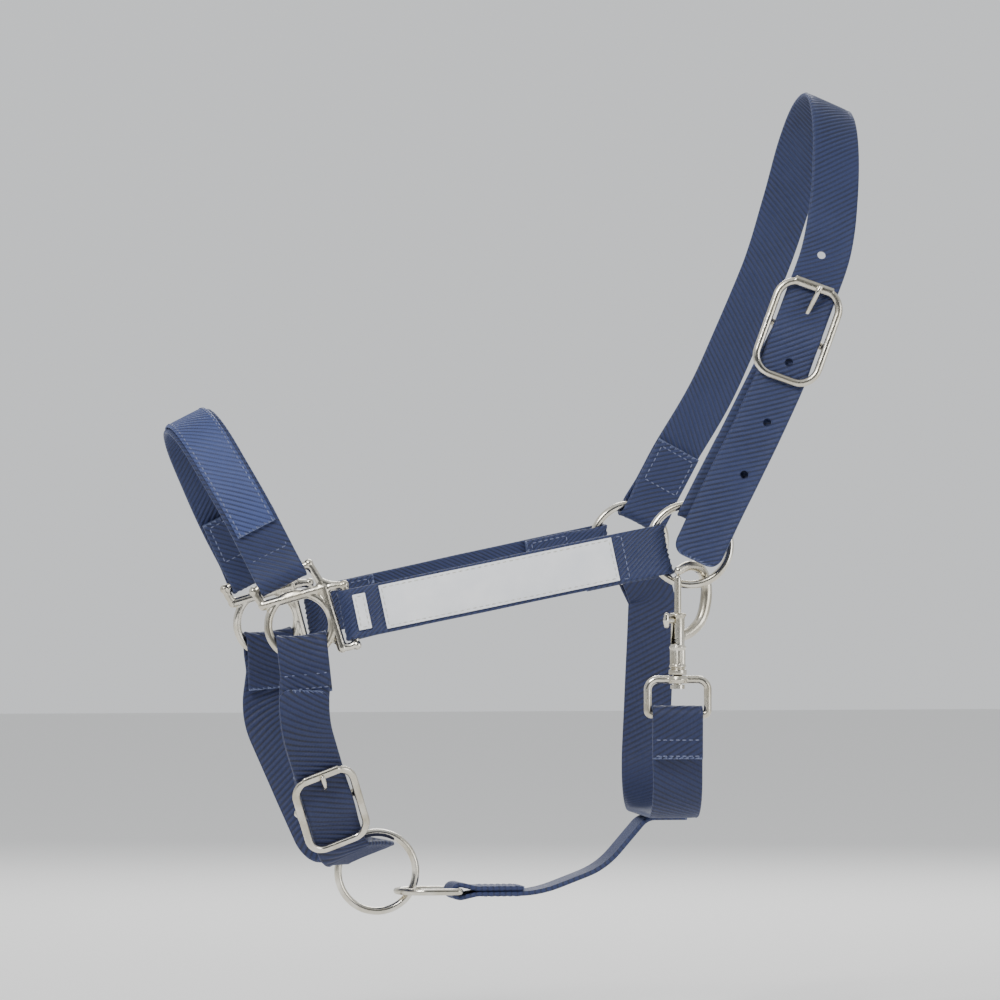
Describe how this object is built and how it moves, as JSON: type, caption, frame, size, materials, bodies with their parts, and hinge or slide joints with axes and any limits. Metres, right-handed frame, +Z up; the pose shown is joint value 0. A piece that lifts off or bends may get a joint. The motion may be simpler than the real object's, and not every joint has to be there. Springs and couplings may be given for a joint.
{
  "type": "horse headcollar",
  "caption": "Webbing horse headcollar: noseband, cheek straps with blank panels, adjustable crown and chin straps, cast squares, rings and a trigger snap.",
  "frame": {"origin": "inner face of the crown strap at the top of the poll, on the middle plane", "axes": "+X towards the tail, +Z up, the horse's left side at -Y"},
  "size_m": [0.351, 0.1844, 0.4167],
  "materials": {
    "navy_webbing": "twill weave",
    "navy_facing": "fine weave",
    "white_panel": "satin blank panel",
    "cast_nickel": "plated casting, satin",
    "plated_wire": "plated steel wire, bright",
    "spring_steel": "bare"
  },
  "bodies": {
    "webbing": {"noseband": "navy_webbing", "left_cheek_strap": "navy_webbing", "right_cheek_strap": "navy_webbing", "crown_strap": "navy_webbing", "crown_billet": "navy_webbing", "chin_billet": "navy_webbing", "chin_strap": "navy_webbing", "connector_strap": "navy_webbing", "throat_strap": "navy_webbing", "noseband_facing": "navy_facing", "left_cheek_panel": "white_panel", "right_cheek_panel": "white_panel", "left_cheek_tab": "white_panel", "right_cheek_tab": "white_panel", "left_square": "cast_nickel", "right_square": "cast_nickel"},
    "left_ring": {"left_side_ring": "plated_wire"},
    "right_ring": {"right_side_ring": "plated_wire"},
    "lead_ring": {"chin_ring": "plated_wire"},
    "link": {"connector_link": "plated_wire"},
    "crown_buckle": {"crown_buckle_frame": "cast_nickel"},
    "crown_tongue": {"crown_buckle_tongue": "plated_wire"},
    "chin_buckle": {"chin_buckle_frame": "cast_nickel"},
    "chin_tongue": {"chin_buckle_tongue": "plated_wire"},
    "snap_eye_body": {"snap_eye": "cast_nickel"},
    "snap": {"snap_body": "cast_nickel", "snap_spring": "spring_steel", "snap_rivet": "plated_wire"},
    "bolt": {"snap_bolt": "plated_wire"}
  },
  "joints": [
    {"name": "left_ring_spin", "type": "hinge", "parent": "webbing", "child": "left_ring", "pos_m": [-0.0863, -0.08, -0.2227], "axis": [-0.1433, -0.9822, 0.1219], "continuous": true},
    {"name": "right_ring_spin", "type": "hinge", "parent": "webbing", "child": "right_ring", "pos_m": [-0.0863, 0.08, -0.2227], "axis": [-0.1433, 0.9822, 0.1219], "continuous": true},
    {"name": "chin_ring_swing", "type": "hinge", "parent": "webbing", "child": "lead_ring", "pos_m": [-0.23493, 0, -0.3774], "axis": [0.9354, 0, 0.3535], "range_deg": [-7, 7]},
    {"name": "link_swing", "type": "hinge", "parent": "webbing", "child": "link", "pos_m": [-0.1906, 0, -0.3976], "axis": [0, 1, 0], "range_deg": [-5, 10]},
    {"name": "crown_buckle_rock", "type": "hinge", "parent": "webbing", "child": "crown_buckle", "pos_m": [-0.03091, -0.07506, -0.11779], "axis": [0.8728, -0.1834, -0.4522], "range_deg": [-0.8, 0.8]},
    {"name": "crown_tongue_lift", "type": "hinge", "parent": "crown_buckle", "child": "crown_tongue", "pos_m": [-0.03091, -0.07506, -0.11779], "axis": [0.8728, -0.1834, -0.4522], "range_deg": [0, 2]},
    {"name": "chin_buckle_rock", "type": "hinge", "parent": "webbing", "child": "chin_buckle", "pos_m": [-0.26283, -0.041, -0.35121], "axis": [0.9354, 0, 0.3535], "range_deg": [-0.8, 0.8]},
    {"name": "chin_tongue_lift", "type": "hinge", "parent": "chin_buckle", "child": "chin_tongue", "pos_m": [-0.26283, -0.041, -0.35121], "axis": [0.9354, 0, 0.3535], "range_deg": [0, 2]},
    {"name": "snap_eye_swing", "type": "hinge", "parent": "webbing", "child": "snap_eye_body", "pos_m": [-0.0937, -0.08642, -0.30705], "axis": [0.9895, -0.1444, 0], "range_deg": [-0.8, 0.8]},
    {"name": "snap_swivel", "type": "hinge", "parent": "snap_eye_body", "child": "snap", "pos_m": [-0.0937, -0.08642, -0.28955], "axis": [0, 0, 1], "range_deg": [-3, 4]},
    {"name": "bolt_slide", "type": "slide", "parent": "snap", "child": "bolt", "axis": [0, 0, -1], "range_m": [0, 0.009], "stiffness_N_per_m": 400, "springref_m": -0.004, "deforming": ["snap_spring"]}
  ]
}
